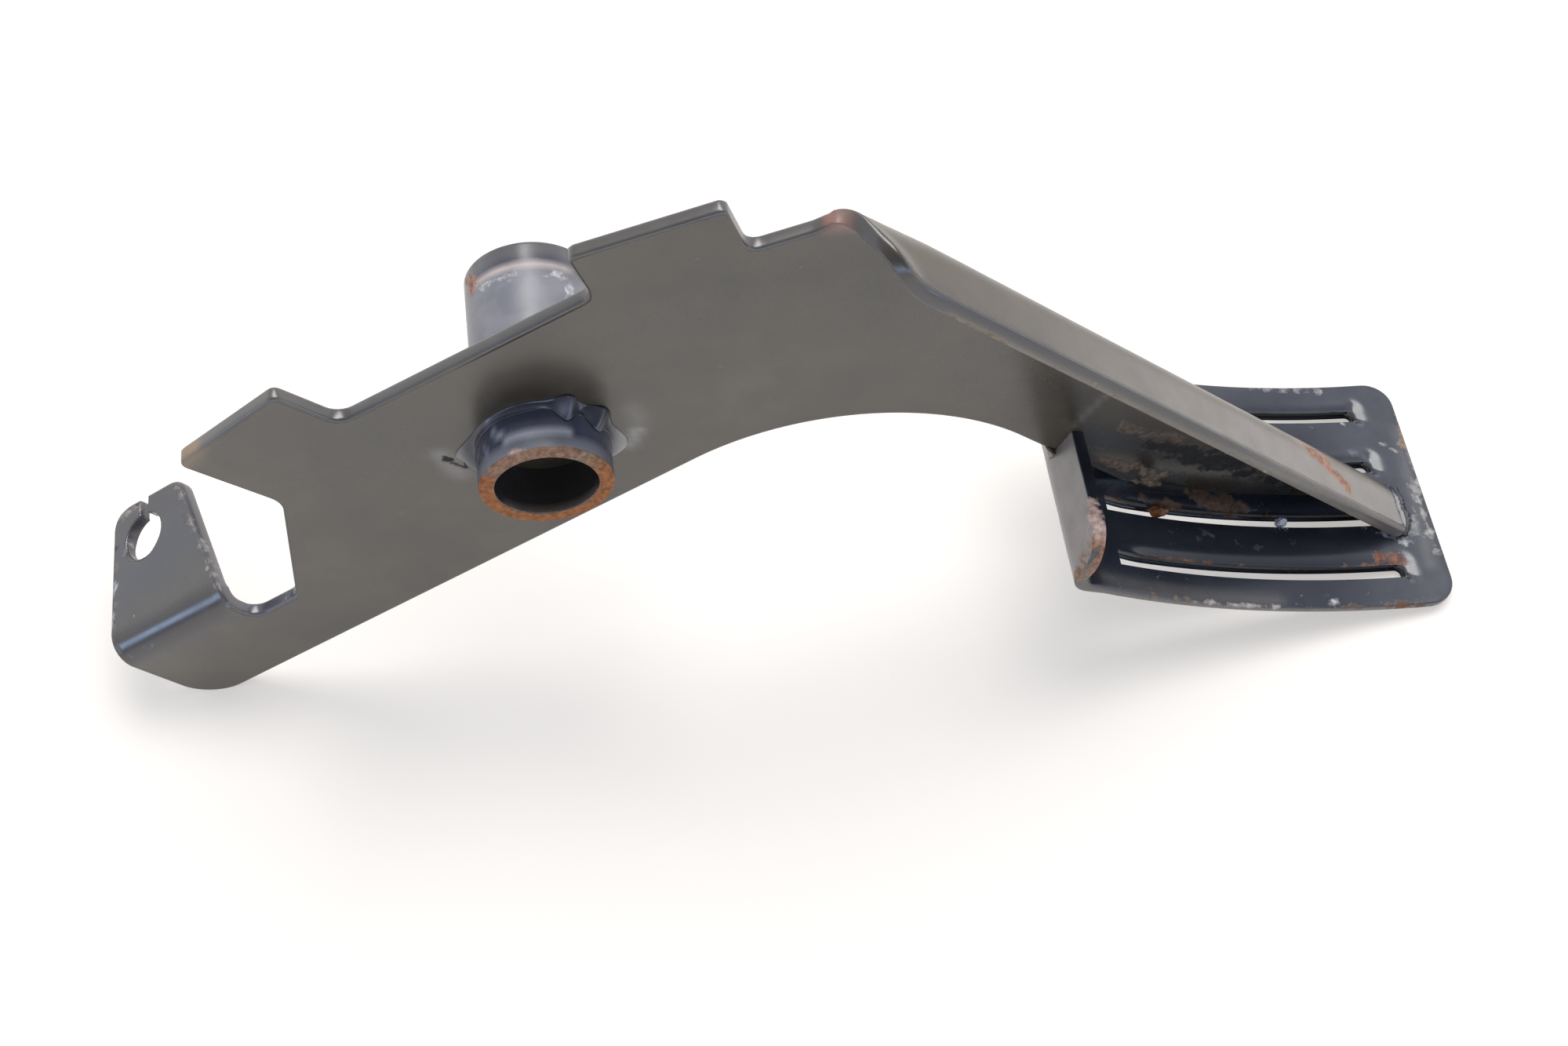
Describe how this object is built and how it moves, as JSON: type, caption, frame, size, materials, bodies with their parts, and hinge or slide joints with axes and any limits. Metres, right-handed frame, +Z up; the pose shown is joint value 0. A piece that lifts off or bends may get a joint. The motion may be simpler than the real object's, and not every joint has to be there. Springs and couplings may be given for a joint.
{
  "type": "accelerator pedal",
  "caption": "Folded sheet-steel lever with a welded pivot tube, a cable tab with an open keyhole, and a curved, louvred foot pad.",
  "frame": {"origin": "on the pivot axis, in the middle of the arm's sheet", "axes": "+X along the lever towards the foot pad's outer end, +Y along the pivot tube towards its long end and the cable tab's free end, +Z up with the lever lying on the arm's tail and the pad's outer end"},
  "size_m": [0.2863, 0.066, 0.1366],
  "materials": {
    "arm_paint": "semi-gloss dark grey paint, worn and lightly rusted at the edges",
    "tube_paint": "semi-gloss dark grey paint, end faces rusted",
    "pad_paint": "semi-gloss blue-black paint, scuffed, with rust on the hollow side",
    "weld_paint": "painted weld bead"
  },
  "bodies": {
    "root": {"arm": "arm_paint", "pivot_tube": "tube_paint", "foot_pad": "pad_paint", "front_weld": "weld_paint", "rear_weld": "weld_paint", "toe_weld": "weld_paint", "heel_weld": "weld_paint", "lip_weld": "weld_paint"}
  },
  "joints": []
}
